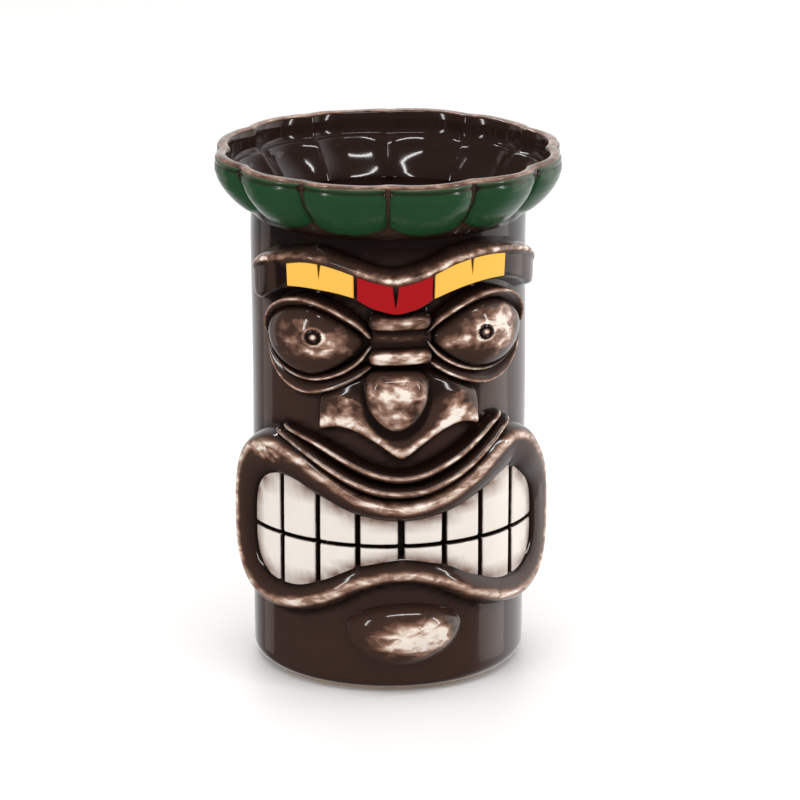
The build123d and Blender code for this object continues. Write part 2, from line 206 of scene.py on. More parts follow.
def closed_grid(name, rings, marks=None, sharp=40):
    """Rings: rows x columns x 3 on the bench. Marks: for each name, rows x columns of numbers to
    paint. Edges that turn by more than sharp (degrees) are shaded as edges."""
    rows, columns = rings.shape[:2]
    add = bpy.ops.mesh.primitive_grid_add
    piece = new_piece(add, name, x_subdivisions=rows - 1, y_subdivisions=columns - 1, size=2)
    start = points_of(piece)
    row = np.rint((start[:, 0] + 1) / 2 * (rows - 1)).astype(int)
    column = np.rint((start[:, 1] + 1) / 2 * (columns - 1)).astype(int)
    move_points(piece, rings[row, column])
    for mark, values in (marks or {}).items():
        paint(piece, mark, values[row, column])
    edit_all()
    bpy.ops.mesh.remove_doubles(threshold=SEAM_WIDTH)
    bpy.ops.mesh.select_all(action="DESELECT")
    bpy.ops.mesh.select_mode(type="EDGE")
    bpy.ops.mesh.select_non_manifold(
        extend=False, use_multi_face=False, use_non_contiguous=False, use_verts=False
    )
    bpy.ops.mesh.fill_holes(sides=0)
    bpy.ops.mesh.select_all(action="SELECT")
    bpy.ops.mesh.normals_make_consistent(inside=False)
    bpy.ops.mesh.select_mode(type="VERT")
    leave_edit()
    bpy.ops.object.shade_smooth_by_angle(angle=math.radians(sharp))
    return piece


pieces = {}


def settle(piece, node, bend=True):
    """Bends a finished piece round the wall and puts it in its CAD node's place."""
    if bend:
        move_points(piece, bend_to_wall(points_of(piece)))
    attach(piece, "root")
    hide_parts(node)
    pieces[node] = piece
    spots = points_of(piece)
    print(node, len(piece.data.polygons), "faces", np.round(1000 * np.ptp(spots, axis=0), 1), "mm")


# %% [markdown]
# ## Sections of a roll
# Fingers leave a roll with a crest that is seldom in its middle: one flank is short and steep,
# the other long and easy. So a section is two flanks that meet at the crest, each a list of
# (share of the way out, share of the height), and each station says where its crest lies. The
# last step of a flank runs out flat, because wet clay is smeared onto the wall, and the glaze
# then rounds that corner further.

# %% Flanks
ROUND = [(0, 1), (0.25, 0.965), (0.5, 0.86), (0.75, 0.62), (0.92, 0.3), (1.06, 0.09), (1.3, -0.06)]
STEEP = [(0, 1), (0.1, 0.985), (0.35, 0.9), (0.6, 0.72), (0.85, 0.4), (1.0, 0.14), (1.15, -0.05)]
EASY = [
    (0, 1), (0.08, 0.985), (0.25, 0.9), (0.5, 0.74), (0.75, 0.55), (0.95, 0.34), (1.1, 0.0),
    (1.16, -0.08),
]
TO_TEETH = [
    (0, 1), (0.08, 0.99), (0.3, 0.92), (0.55, 0.8), (0.8, 0.64), (0.95, 0.48), (1.05, 0.3),
    (1.12, 0.0),
]


# %% Helper: stations to roll
def roll(
    name, stations, left=ROUND, right=ROUND, step=0.55, across=25, ends=1.6, upright=False,
    wiped_and_highlit=1.0, line_width=0.75, dark_glaze_and_shade=(0.0, 0.0),
):
    """Stations: (x, z, half width, height, crest from -1 to 1). Left and right are the flanks on
    the left and the right of the way along the roll. Ends is the length over which each end
    rounds off (0 leaves it cut). The last three say how pale the crest is painted (glaze wiped off
    the clay, and painted highlight along it), how wide that pale line is (mm), and how dark the
    left and the right flank are painted (glaze pooled there, and painted shade)."""
    rough = through(stations, 400)
    length = np.linalg.norm(np.diff(rough[:, :2], axis=0), axis=1).sum()
    line = through(stations, max(12, int(length / step)))
    way = np.gradient(line[:, :2], axis=0)
    way /= np.linalg.norm(way, axis=1)[:, None]
    side = np.stack([-way[:, 1], way[:, 0]], 1)
    if upright:
        side = np.tile([0.0, 1.0], (len(line), 1))
    along = np.linspace(0, length, len(line))
    close = np.minimum(along, length - along)
    taper = np.ones(len(line))
    if ends:
        taper = np.sqrt(unit(1 - (1 - unit(close / ends)) ** 2))
    half = across // 2
    spread = np.linspace(0, 1, half + 1)
    flanks = []
    for flank in (left, right):
        out = spread * flank[-1][0]
        high = np.interp(out, *zip(*flank))
        high[1:-1] = np.convolve(high, (0.25, 0.5, 0.25), "valid")
        flanks.append(list(zip(out, high)))
    half_width, height, crest = line[:, 2] * taper, line[:, 3] * taper, line[:, 4]
    columns = [(crest - out * (1 + crest), high) for out, high in flanks[1][::-1]]
    columns += [(crest + out * (1 - crest), high) for out, high in flanks[0][1:]]
    front_count = len(columns)
    # Three columns behind the wall, and the first one again to close the skin.
    columns += [(columns[-1][0], None), (crest * 0, None), (columns[0][0], None), columns[0]]
    rings = np.zeros((len(line), len(columns), 3))
    crestness = np.zeros((len(line), len(columns)))
    pooled_and_shaded = np.ones((len(line), len(columns)))
    for j, (t, high) in enumerate(columns):
        place = line[:, :2] + side * (t * half_width)[:, None]
        rings[:, j, 0] = place[:, 0]
        rings[:, j, 2] = place[:, 1]
        rings[:, j, 1] = 1.0 * taper if high is None else -high * height
        if j < front_count:
            # A pale line along the crest: wiped glaze and painted highlight.
            crestness[:, j] = hump((t - crest) * half_width, 0, line_width)
            out = np.where(t > crest, (t - crest) / (1 - crest), (crest - t) / (1 + crest))
            deep = np.where(t > crest, dark_glaze_and_shade[0], dark_glaze_and_shade[1])
            # Painted shade, with pooled glaze, darkening each flank away from its crest.
            pooled_and_shaded[:, j] = deep * unit((out - 0.3) / 0.45)
    if callable(wiped_and_highlit):
        wiped_and_highlit = wiped_and_highlit(along / length)[:, None]
    return closed_grid(name, rings, {"crest": crestness * wiped_and_highlit, "pool_and_shade": pooled_and_shaded})


def mirror_stations(stations):
    return [(-s[0], *s[1:]) for s in reversed(stations)]


def between(edges):
    """Stations half way between two edges, from rows of (x, top, bottom, height)."""
    return [(x, (top + low) / 2, (top - low) / 2, high, 0.0) for x, top, low, high in edges]


# %% [markdown]
# ## Wall, floor and foot
# The wall is a pot thrown or cast in the round, so half of its section is drawn once and spun.
# The inside follows at the wall's thickness, down to a rounded floor. The foot ring is already
# right in the CAD model and only needs its bare clay.

# %% Spin the pot
WALL_TOP = 1000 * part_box("mug_body")[1][2]
FOOT_TOP = 1000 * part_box("mug_body")[0][2]
WALL_THICKNESS = 4.5
INNER_RADIUS = WALL_RADIUS - WALL_THICKNESS
FLOOR_TOP = 6.0


def spun(name, outline, steps):
    """A closed section (radius, height) in mm, spun round the mug's axis."""
    add = bpy.ops.mesh.primitive_circle_add
    piece = new_piece(add, name, vertices=len(outline), radius=1, fill_type="NOTHING")
    move_points(piece, np.array([(r * 0.001, 0, z * 0.001) for r, z in outline]))
    edit_all()
    bpy.ops.mesh.spin(steps=steps, angle=2 * math.pi, center=(0, 0, 0), axis=(0, 0, 1))
    bpy.ops.mesh.select_all(action="SELECT")
    bpy.ops.mesh.remove_doubles(threshold=2e-6)
    bpy.ops.mesh.normals_make_consistent(inside=False)
    leave_edit()
    bpy.ops.object.shade_smooth_by_angle(angle=math.radians(50))
    return piece


def quarter(centre, radius, start, end, count=7):
    """Points on an arc, angles in degrees, for the rounded corners of a section."""
    turns = np.radians(np.linspace(start, end, count))
    return [(centre[0] + radius * math.cos(t), centre[1] + radius * math.sin(t)) for t in turns]


outer_side = [(WALL_RADIUS, z) for z in np.linspace(FOOT_TOP + 5, WALL_TOP, 84)]
inner_side = [(INNER_RADIUS, z) for z in np.linspace(WALL_TOP, FLOOR_TOP + 5.5, 24)]
pot = spun(
    "clay_pot",
    [(0.02, FOOT_TOP), (20, FOOT_TOP)]
    + quarter((WALL_RADIUS - 3.5, FOOT_TOP + 3.5), 3.5, -90, 0, 9)
    + outer_side
    + inner_side
    + quarter((INNER_RADIUS - 4, FLOOR_TOP + 4), 4, 0, -90, 9)
    + [(16, FLOOR_TOP), (0.02, FLOOR_TOP)],
    240,
)
x, y, z = points_of(pot).T
turn = np.arctan2(x, -y)
radius = np.hypot(x, y)
sway = 0.00012 * np.sin(3 * turn + 40 * z) + 0.00008 * np.sin(5 * turn - 70 * z)
outside = unit((radius * 1000 - INNER_RADIUS - 1) / 2)
outside *= unit((0.134 - z) * 200)
scale = 1 + sway * outside / np.maximum(radius, 1e-6)
move_points(pot, np.stack([x * scale, y * scale, z], 1))
# Painted shade: the neck under the crown is darkened to near black, on the outside only.
paint(pot, "pool_and_shade", unit((z * 1000 - 127) / 6) * (radius * 1000 > INNER_RADIUS + 1))
settle(pot, "mug_body", bend=False)

# %% [markdown]
# ## The crown
# The crown is the same kind of spun section, but its outline is then pressed in at twelve seams.
# Pressing is a sum on the points: each one knows its radius at the middle of a leaf and at a
# seam, and its angle says how far it is from the one to the other.

# %% Press the seams in
LEAVES = 12
SEAM_TURN = math.radians(-5)
PITCH = 2 * math.pi / LEAVES


def bulge(turn, sharp):
    """1 in the middle of a leaf and 0 at a seam."""
    across = np.abs((turn - SEAM_TURN) / PITCH % 1 - 0.5) * 2
    return 1 - across**sharp


# Rows: height, radius at a leaf's middle, radius at a seam, for the outside of the green leaves.
LEAF_ROWS = [
    (153.5, 50.9, 48.6), (152.9, 50.8, 48.5), (151.5, 50.9, 48.4), (149.5, 51.0, 48.3),
    (147.0, 50.3, 47.2), (145.0, 49.3, 46.0), (143.0, 47.9, 44.3), (141.0, 46.2, 42.4),
    (139.5, 44.6, 41.2), (138.2, 43.0, 40.6), (137.2, 41.6, 40.3), (136.4, 40.6, 40.0),
]
# The crown's own skin: outside up to the lip, over it, and down the inside past the ledge.
CROWN_ROWS = [
    (136.0, 40.0, 40.0), (137.2, 40.5, 39.9), (138.4, 41.8, 40.1), (140.0, 44.0, 40.9),
    (142.5, 46.4, 43.0), (145.0, 48.1, 45.3), (147.5, 49.3, 47.0), (150.0, 50.0, 48.1),
    (151.8, 50.0, 48.1), (152.6, 50.1, 48.2), (153.2, 50.25, 48.4), (153.7, 50.2, 48.3),
    (154.0, 49.8, 47.9), (154.0, 48.6, 46.6), (153.8, 47.8, 45.8), (153.2, 47.3, 45.3),
    (151.0, 47.1, 45.1), (148.6, 46.9, 44.9), (147.4, 46.7, 44.7), (146.9, 46.2, 44.2),
    (146.7, 45.3, 43.3), (146.3, 44.7, 42.4), (144.5, 44.1, 41.1), (142.0, 42.6, 39.2),
    (139.5, 40.2, 37.4), (137.0, 37.6, 36.2), (135.0, 35.9, 35.6), (134.2, 35.5, 35.5),
]
crown = spun("clay_crown", [(row[1], row[0]) for row in CROWN_ROWS] + [(38.0, 134.6)], LEAVES * 28)
x, y, z = 1000 * points_of(crown).T
radius = np.hypot(x, y)
turn = np.arctan2(x, -y)
table = np.array(CROWN_ROWS + [(134.6, 38.0, 38.0)])
nearest = np.argmin(np.abs(z[:, None] - table[:, 0]) + np.abs(radius[:, None] - table[:, 1]), axis=1)
middle, seam = table[nearest, 1], table[nearest, 2]
share = bulge(turn, 2.0)
wobble = 0.12 * np.sin(7 * turn + 1.3) + 0.1 * np.sin(11 * turn)
lift = unit((z - 150) / 4) * (0.25 * np.sin(5 * turn + 0.6) + 0.15 * np.sin(13 * turn))
reach = seam + (middle - seam) * share + wobble * unit((z - 140) / 10)
move_points(crown, around(reach, turn, z + np.minimum(lift, 0)) * 0.001)
rim = hump(z, 153.6, 0.8) * (radius > 47.6)
paint(crown, "crest", rim * 0.8)
# Painted shade inside the crown below its ledge, and on the outside under the hem of the leaves.
inside = (radius < middle + 1) & (table[nearest, 1] < 47.4) & (nearest > 13)
paint(crown, "pool_and_shade", inside * 0.55 + unit((138.5 - z) / 2) * (nearest < 6))
settle(crown, "crown_wall", bend=False)

# %% [markdown]
# ## Leaves
# One leaf is a pad of clay with a straight top and a rounded hem. It lies on the crown, so its
# points take the crown's own radius, and its edges roll over onto it. The leaf is made once and
# copied round, and each copy is nudged a little, as hand-finished leaves are.


# %% Make a leaf and copy it round
CREASE = 151.7  # a groove under the lip
LEAF_THICKNESS = 1.9
LEAF_EDGE = 0.95  # over which its edges roll over
LEAF_HALF_TURN = PITCH / 2 - math.radians(0.3)
SEAM_RADIUS = 48


def leaf_piece(number, generator):
    rows, columns = 53, 41
    start = SEAM_TURN + (number - 1) * PITCH
    s = np.linspace(-1, 1, columns)
    s = np.sign(s) * (1 - (1 - np.abs(s)) ** 1.35)
    t = np.linspace(0, 1, rows)
    t = 1 - (1 - t) ** 1.15
    hem = 137.3 + 2.8 * np.abs(s) ** 2.2 + generator.uniform(-0.25, 0.25) * s
    top = 153.3 + 0.12 * np.cos(3 * s + generator.uniform(0, 6)) - 0.5 * hump(1 - np.abs(s), 0, 0.05)
    height = hem[None, :] + (top - hem)[None, :] * t[:, None]
    turn = start + PITCH / 2 + s[None, :] * LEAF_HALF_TURN * np.ones((rows, 1))
    table = np.array(LEAF_ROWS)[::-1]
    middle = np.interp(height, table[:, 0], table[:, 1])
    seam = np.interp(height, table[:, 0], table[:, 2])
    reach = seam + (middle - seam) * bulge(turn, 2.2)
    to_seam = (1 - np.abs(s))[None, :] * LEAF_HALF_TURN * SEAM_RADIUS
    near = np.minimum(np.minimum(to_seam, (height - hem[None, :]) * 0.8), top[None, :] - height)
    drop = rolled_edge(near, LEAF_EDGE)
    crease = hump(height, CREASE, 0.45)
    outer = reach - drop * 1.15 - 0.3 * crease
    inner = np.minimum(reach - LEAF_THICKNESS, outer - 0.05)
    front, back = around(outer, turn, height), around(inner, turn, height)
    rings = np.concatenate([front, back[:, ::-1], front[:, :1]], axis=1)
    # The seams' dark lines and the dark dot at each seam's top are the glaze's own colour; the darkening
    # in the groove under the lip is painted shade.
    dot = np.exp(-((to_seam / 0.9) ** 2) - ((height - CREASE + 0.3) / 0.8) ** 2)
    dark_glaze_and_shade = 0.5 * crease + 1.3 * dot + 0.5 * unit(1 - to_seam / 0.4)
    marks = {"pool_and_shade": dark_glaze_and_shade, "rim": unit((height - 152.5) / 0.7)}
    for name, mark in marks.items():
        marks[name] = np.concatenate([mark, mark[:, ::-1], mark[:, :1]], axis=1)
    leaf = closed_grid(f"leaf_{number:02d}", rings, marks, sharp=60)
    move_points(leaf, points_of(leaf) * 0.001)
    return leaf


leaf_hand = np.random.default_rng(12)
for number in range(1, LEAVES + 1):
    settle(leaf_piece(number, leaf_hand), f"crown_leaf_{number:02d}", bend=False)

# %% [markdown]
# ## The brow and its painted pads
# The brow is a broad shelf with a rolled top edge. Its top and bottom edges are given at a few
# places along it, and its section is upright rather than square to its run, so that the pads can
# sit on a flat front. Each pad is a thin slab with a notch pressed into its top edge.

# %% Brow
BROW = [
    (-50.2, 120.9, 118.1, 1.2), (-48.6, 123.4, 116.2, 2.7), (-46.0, 126.2, 114.8, 4.0),
    (-43.0, 128.4, 114.6, 4.9), (-39.0, 130.1, 116.4, 5.6), (-35.0, 131.0, 118.8, 6.1),
    (-30.0, 132.2, 120.4, 6.1), (-25.0, 133.2, 121.0, 6.2), (-20.0, 132.7, 120.8, 6.3),
    (-12.0, 130.3, 119.2, 6.5), (-6.0, 128.2, 116.6, 6.6), (-1.6, 127.5, 115.2, 6.7),
    (4.0, 128.7, 116.4, 6.6), (8.0, 130.2, 118.6, 6.5), (14.0, 132.9, 121.2, 6.4),
    (20.0, 134.0, 122.4, 6.3), (28.0, 133.7, 122.5, 6.1), (34.0, 132.4, 121.0, 6.0),
    (38.5, 131.2, 119.0, 5.7), (42.5, 129.0, 117.0, 5.1), (46.0, 126.2, 116.6, 4.1),
    (48.4, 123.6, 117.8, 2.7), (50.0, 121.4, 119.6, 1.2),
]
BROW_TOP = [
    (0, 1.0), (0.3, 1.0), (0.42, 1.02), (0.56, 1.1), (0.72, 1.12), (0.86, 0.98), (0.97, 0.66),
    (1.05, 0.3), (1.16, -0.06),
]
BROW_LOW = [(0, 1.0), (0.5, 0.98), (0.78, 0.93), (0.9, 0.78), (0.98, 0.5), (1.06, 0.2), (1.18, -0.06)]
brow = roll(
    "brow_shelf", between(BROW), BROW_TOP, BROW_LOW, across=61, ends=4.5, upright=True, wiped_and_highlit=0.0
)
spots = points_of(brow)
x, y, z = spots.T
brow_x, brow_top, brow_low, brow_high = np.array(BROW).T
upper = np.interp(x, brow_x, brow_top)
lower = np.interp(x, brow_x, brow_low)
edge = (z - lower) / (upper - lower)  # 0 at the lower edge of the brow, 1 at the upper
cloud = speckle(spots, 2.6, 4.0)
ridge = hump(edge, 0.87, 0.1)
paint(brow, "wipe", ridge * (0.3 + 0.9 * cloud) * (1 - 0.35 * (np.abs(x + 20) < 9)))
# Painted shade behind the pads and along the brow's lower and upper edges, and dark lines between the
# pads, where glaze pools and shade falls.
behind_pads = unit(1 - np.abs(edge - 0.42) / 0.36) * (x > -33.5) * (x < 30.5)
grooves = sum(hump(x, middle, wide) for middle, wide in ((-33.4, 1.1), (-39.2, 2.3), (31.2, 1.6)))
outline = (edge < 0.08) + unit((edge - 0.97) * 12)
paint(brow, "pool_and_shade", behind_pads * 1.6 + grooves * (edge < 0.8) * 0.8 + outline)
settle(brow, "brow_ridge")


# %% Pads
PAD_PROUD = 0.55
PAD_STEP = 0.17
PAD_EDGE = 0.35


def pad(name, node, edges, notch, depth, width):
    """Edges: (x, top, bottom) along the pad. The notch is a V in its top edge: its place along
    the pad, its depth and its half width."""
    line = np.array(edges, float)
    line = through(line, int((line[-1, 0] - line[0, 0]) / PAD_STEP))
    x, top, low = line.T
    top = top - depth * unit(1 - np.abs(x - notch) / width) ** 0.7
    level = np.interp(x, brow_x, brow_high)
    end_drop = rolled_edge(np.minimum(x - x[0], x[-1] - x), PAD_EDGE)
    columns = [(-1, -1.4), (-1, -0.2), (-0.985, -0.05), (-0.95, 0.0)]
    columns += [(t, 0.0) for t in np.linspace(-0.85, 0.85, 11)]
    columns += [(0.95, 0.0), (0.985, -0.05), (1, -0.2), (1, -1.4), (-1, -1.4)]
    rings = np.zeros((len(x), len(columns), 3))
    for j, (t, lift) in enumerate(columns):
        rings[:, j, 0] = x
        rings[:, j, 2] = (top + low) / 2 + t * (top - low) / 2
        slope = 0.97 + 0.03 * t
        rings[:, j, 1] = -(level * slope + PAD_PROUD + lift - end_drop)
    settle(closed_grid(name, rings, sharp=35), node)


PAD_LEFT = [
    (-30.2, 128.5, 122.0), (-25.5, 129.6, 122.4), (-20.8, 129.7, 122.3), (-16.0, 128.8, 121.8),
    (-11.8, 127.4, 120.8),
]
PAD_CENTRE = [
    (-11.0, 127.0, 120.3), (-8.0, 126.0, 118.4), (-4.5, 125.2, 117.0), (-1.6, 124.9, 116.4),
    (2.0, 125.8, 117.1), (5.0, 126.7, 118.4), (7.5, 127.4, 120.2),
]
PAD_RIGHT = [
    (8.0, 127.8, 120.4), (12.0, 129.5, 122.0), (18.0, 131.0, 123.6), (23.6, 131.2, 124.1),
    (28.4, 130.6, 123.9),
]
pad("pad_yellow_left", "brow_pad_left", PAD_LEFT, -20.7, 4.6, 0.42)
pad("pad_red_centre", "brow_pad_centre", PAD_CENTRE, -1.6, 7.0, 0.75)
pad("pad_yellow_right", "brow_pad_right", PAD_RIGHT, 17.9, 5.2, 0.42)

# %% [markdown]
# ## Eyes
# Each eye is a ball of clay pulled to a point at its inner corner, with a small ring pressed into
# it and rolls laid round it: a heavy upper lid, a thin lower lid and a bag below that. The two
# eyes are not mirror copies of each other: the left one sits a little lower.


# %% Helper: a ball pressed on the wall
def ball(name, centre, reach, height, shape):
    """Reach: (left, right, down, up) from the centre. Shape moves the bench points further, and
    is given where they lay on the round ball too."""
    add = bpy.ops.mesh.primitive_uv_sphere_add
    piece = new_piece(add, name, segments=128, ring_count=80, radius=1)
    turn_to_front()
    spots = points_of(piece)
    left, right, down, up = reach
    flat = spots.copy()
    flat[:, 0] *= np.where(spots[:, 0] < 0, left, right)
    flat[:, 2] *= np.where(spots[:, 2] < 0, down, up)
    flat[:, 1] = np.where(spots[:, 1] < 0, spots[:, 1] * height, spots[:, 1] * 1.2)
    flat = shape(flat, spots)
    flat[:, 0] += centre[0]
    flat[:, 2] += centre[1]
    move_points(piece, flat)
    bpy.ops.object.shade_smooth()
    return piece


# %% Eyeballs and pupils
EYE_HEIGHT = 7.4
PUPIL_SEAT = (15.7, 10.7)
# Inner: the side of its inner corner. Patches: where it was wiped, as (x, z, width, height, how much).
EYES = {
    "left": {
        "middle": (-26.0, 106.8), "reach": (15.6, 15.6, 12.0, 10.4), "pupil": (-22.3, 108.3), "inner": 1,
        "patches": [
            (-27.0, 106.0, 10.0, 6.5, 0.34), (-17.5, 104.4, 7.0, 2.8, 0.6), (-17.0, 109.4, 5.0, 2.8, 0.6),
            (-28.0, 106.0, 5.0, 4.0, 0.35), (-27.0, 112.4, 6.0, 2.6, 0.4),
        ],
    },
    "right": {
        "middle": (24.3, 107.6), "reach": (15.8, 15.8, 11.6, 10.2), "pupil": (21.9, 108.9), "inner": -1,
        "patches": [
            (25.0, 107.0, 11.0, 7.0, 0.4), (24.0, 112.6, 8.5, 3.8, 0.7), (29.0, 107.0, 5.0, 6.0, 0.75),
            (15.0, 106.6, 5.0, 3.0, 0.9),
        ],
    },
}
for name, eye in EYES.items():
    inner = eye["inner"]

    def pulled(flat, spots, inner=inner):
        """Narrows the ball to a point at its inner corner."""
        toward = unit(spots[:, 0] * inner)
        flat[:, 2] *= 1 - 0.5 * toward**1.7
        flat[:, 1] = np.where(flat[:, 1] < 0, flat[:, 1] * (1 - 0.1 * toward**2), flat[:, 1])
        return flat

    eyeball = ball(f"eye_{name}", eye["middle"], eye["reach"], EYE_HEIGHT, pulled)
    spots = points_of(eyeball)
    x, y, z = spots.T
    away = np.hypot(x - eye["pupil"][0], z - eye["pupil"][1])
    cloud = speckle(spots, 3.4, 3.0 if name == "left" else 9.0)
    patches = sum(much * blot(spots, *place) for *place, much in eye["patches"])
    halo = 0.42 * hump(away, 2.5, 0.45) + 1.3 * hump(away, 0, 0.85)
    paint(eyeball, "wipe", patches * (0.15 + 1.1 * cloud) * (y < 0) * (away > 2.2) + halo)
    settle(eyeball, f"eyeball_{name}")

    add = bpy.ops.mesh.primitive_torus_add
    steps = {"major_segments": 48, "minor_segments": 16}
    ring = new_piece(add, f"pupil_ring_{name}", major_radius=1.55, minor_radius=0.5, **steps)
    turn_to_front()
    spots = points_of(ring)
    spots[:, 1] *= 0.55
    spots += [eye["pupil"][0], 0, eye["pupil"][1]]
    from_middle = (spots[:, (0, 2)] - eye["middle"]) / PUPIL_SEAT
    gone = (from_middle**2).sum(1)
    spots[:, 1] -= EYE_HEIGHT * np.sqrt(1 - np.clip(gone, 0, 0.99)) - 0.02
    move_points(ring, spots)
    bpy.ops.object.shade_smooth()
    # The ring is dark glaze all over: its own colour.
    paint(ring, "pool_and_shade", np.ones(len(spots)))
    settle(ring, f"pupil_{name}")

# %% Lids and bags
LID_RIGHT = [
    (6.6, 109.0, 0.9, 3.6, 0.3), (9.6, 112.3, 1.5, 4.8, 0.4), (14.0, 115.4, 1.9, 5.8, 0.45),
    (19.5, 118.0, 2.1, 6.3, 0.5), (25.5, 118.9, 2.2, 6.4, 0.5), (31.5, 117.4, 2.1, 6.0, 0.5),
    (36.6, 114.0, 1.8, 5.0, 0.4), (39.8, 109.4, 1.4, 3.8, 0.3), (40.4, 106.0, 1.0, 2.6, 0.3),
]
LOW_LID_RIGHT = [
    (6.0, 108.6, 0.7, 3.2, -0.2), (10.0, 103.4, 1.1, 4.0, -0.3), (16.0, 99.4, 1.25, 4.4, -0.3),
    (23.2, 97.6, 1.3, 4.6, -0.3), (30.5, 99.1, 1.25, 4.4, -0.3), (36.4, 103.3, 1.1, 3.8, -0.3),
    (39.6, 108.2, 0.8, 2.8, -0.2),
]
BAG_RIGHT = [
    (6.6, 102.4, 1.0, 3.0, -0.4), (12.6, 98.5, 1.9, 3.6, -0.5), (19.4, 95.6, 2.5, 3.9, -0.5),
    (26.0, 94.4, 2.7, 3.9, -0.5), (32.8, 96.5, 2.4, 3.5, -0.5), (38.0, 101.2, 1.8, 3.0, -0.4),
    (40.4, 106.4, 1.1, 2.2, -0.3),
]
LID_LEFT = [(x - 1.2, z - 1.5, *rest) for x, z, *rest in mirror_stations(LID_RIGHT)]
LOW_LID_LEFT = [(x - 1.6, z - 2.2, *rest) for x, z, *rest in mirror_stations(LOW_LID_RIGHT)]
BAG_LEFT = [(x - 1.2, z - 2.2, *rest) for x, z, *rest in mirror_stations(BAG_RIGHT)]
for name, lid, low_lid, bag in (
    ("left", LID_LEFT, LOW_LID_LEFT, BAG_LEFT), ("right", LID_RIGHT, LOW_LID_RIGHT, BAG_RIGHT)
):
    # Each roll's crest gets a pale line, partly wiped glaze and partly painted highlight, and its flanks
    # painted shade, partly pooled glaze.
    piece = roll(f"lid_upper_{name}", lid, STEEP, EASY, wiped_and_highlit=0.95, line_width=0.62, dark_glaze_and_shade=(0.5, 1.0))
    settle(piece, f"upper_lid_{name}")
    piece = roll(f"lid_lower_{name}", low_lid, wiped_and_highlit=1.05, line_width=0.55, dark_glaze_and_shade=(1.0, 1.0))
    settle(piece, f"lower_lid_{name}")
    piece = roll(f"bag_{name}", bag, EASY, STEEP, wiped_and_highlit=0.9, line_width=0.6, dark_glaze_and_shade=(0.9, 0.2))
    settle(piece, f"eye_bag_{name}")

# %% [markdown]
# ## Nose
# Two short rolls cross the bridge. Under them the tip is a shield-shaped knob, and the nostril
# wings spread from it as a plate whose lower edge is cut in two arcs that meet in a point.

# %% Bridge
BRIDGE = [(-9.0, 107.6, 6.8, 3.0, 0), (0.0, 107.8, 7.2, 3.4, 0), (9.0, 107.8, 6.8, 3.0, 0)]
bridge = roll("bridge_plate", BRIDGE, ends=2.0, upright=True, wiped_and_highlit=0.0)
spots = points_of(bridge)
x, y, z = spots.T
thin_line = hump(z, 108.3, 0.9) * (np.abs(x) < 7.5)
paint(bridge, "wipe", thin_line * 0.75 * speckle(spots, 2.0, 8.0))
# Painted shade over the plate between the rolls, except along its thin middle line.
paint(bridge, "pool_and_shade", 0.8 - 0.8 * thin_line)
settle(bridge, "nose_bridge")
# Rows: along the roll, then what is added to its height above the table, half width and height.
BRIDGE_ROLL = [
    (-9.2, -0.3, -0.3, -0.8), (-4, 0, 0, 0), (0, 0.1, 0, 0), (4, 0.2, 0, 0), (8.8, 0.1, -0.3, -0.8)
]
for name, node, z, half_width, height, much in (
    ("bridge_roll_upper", "nose_roll_upper", 112.6, 3.0, 5.4, 0.62),
    ("bridge_roll_lower", "nose_roll_lower", 102.6, 3.1, 6.2, 0.82),
):
    stations = [(x, z + up, half_width + out, height + high, 0.1) for x, up, out, high in BRIDGE_ROLL]
    piece = roll(name, stations, ends=2.4, across=33, wiped_and_highlit=0.0)
    spots = points_of(piece)
    on_front = unit((-spots[:, 1] - 0.55 * height) / (0.35 * height))
    cloud = speckle(spots * [0.6, 1, 1.6], 2.4, z)
    toward_ends = unit(1.3 - (spots[:, 0] / 9) ** 2)
    paint(piece, "wipe", on_front * much * (0.45 + 1.1 * cloud) * toward_ends)
    # Painted shade where the roll turns back in to the wall.
    paint(piece, "pool_and_shade", unit((0.45 * height + spots[:, 1]) / 1.2))
    settle(piece, node)


# %% Tip
TIP_HEIGHT = 9.4


def shield(flat, spots):
    """Draws the lower half in to a blunt point, squares the top, and flattens the front so that
    the sides fall steeply."""
    down = unit(-spots[:, 2])
    up = unit(spots[:, 2])
    square = (1 - np.minimum(up, 0.95) ** 4) ** 0.25 / (1 - np.minimum(up, 0.95) ** 2) ** 0.5
    flat[:, 0] *= (1 - 0.26 * down**2.2) * square
    out = np.hypot(spots[:, 0], spots[:, 2])
    blunt = (1 - unit(out) ** 2.7) ** (1 / 2.7)
    flat[:, 1] = np.where(spots[:, 1] < 0, -TIP_HEIGHT * blunt, flat[:, 1])
    return flat


tip = ball("nose_knob", (-1.3, 92.4), (8.7, 8.9, 12.6, 6.8), TIP_HEIGHT, shield)
spots = points_of(tip)
x, y, z = spots.T
cloud = speckle(spots, 3.4, 5.0)
face = unit((-y - 5.6) / 1.8)
pale = blot(spots, -1.5, 93.6, 4.2, 2.6)
paint(tip, "wipe", face * (0.1 + 0.85 * cloud + 0.4 * pale))
# Painted shade round the knob's foot, where it turns in to the wall.
paint(tip, "pool_and_shade", unit((4.6 + y) / 1.6))
settle(tip, "nose_tip")

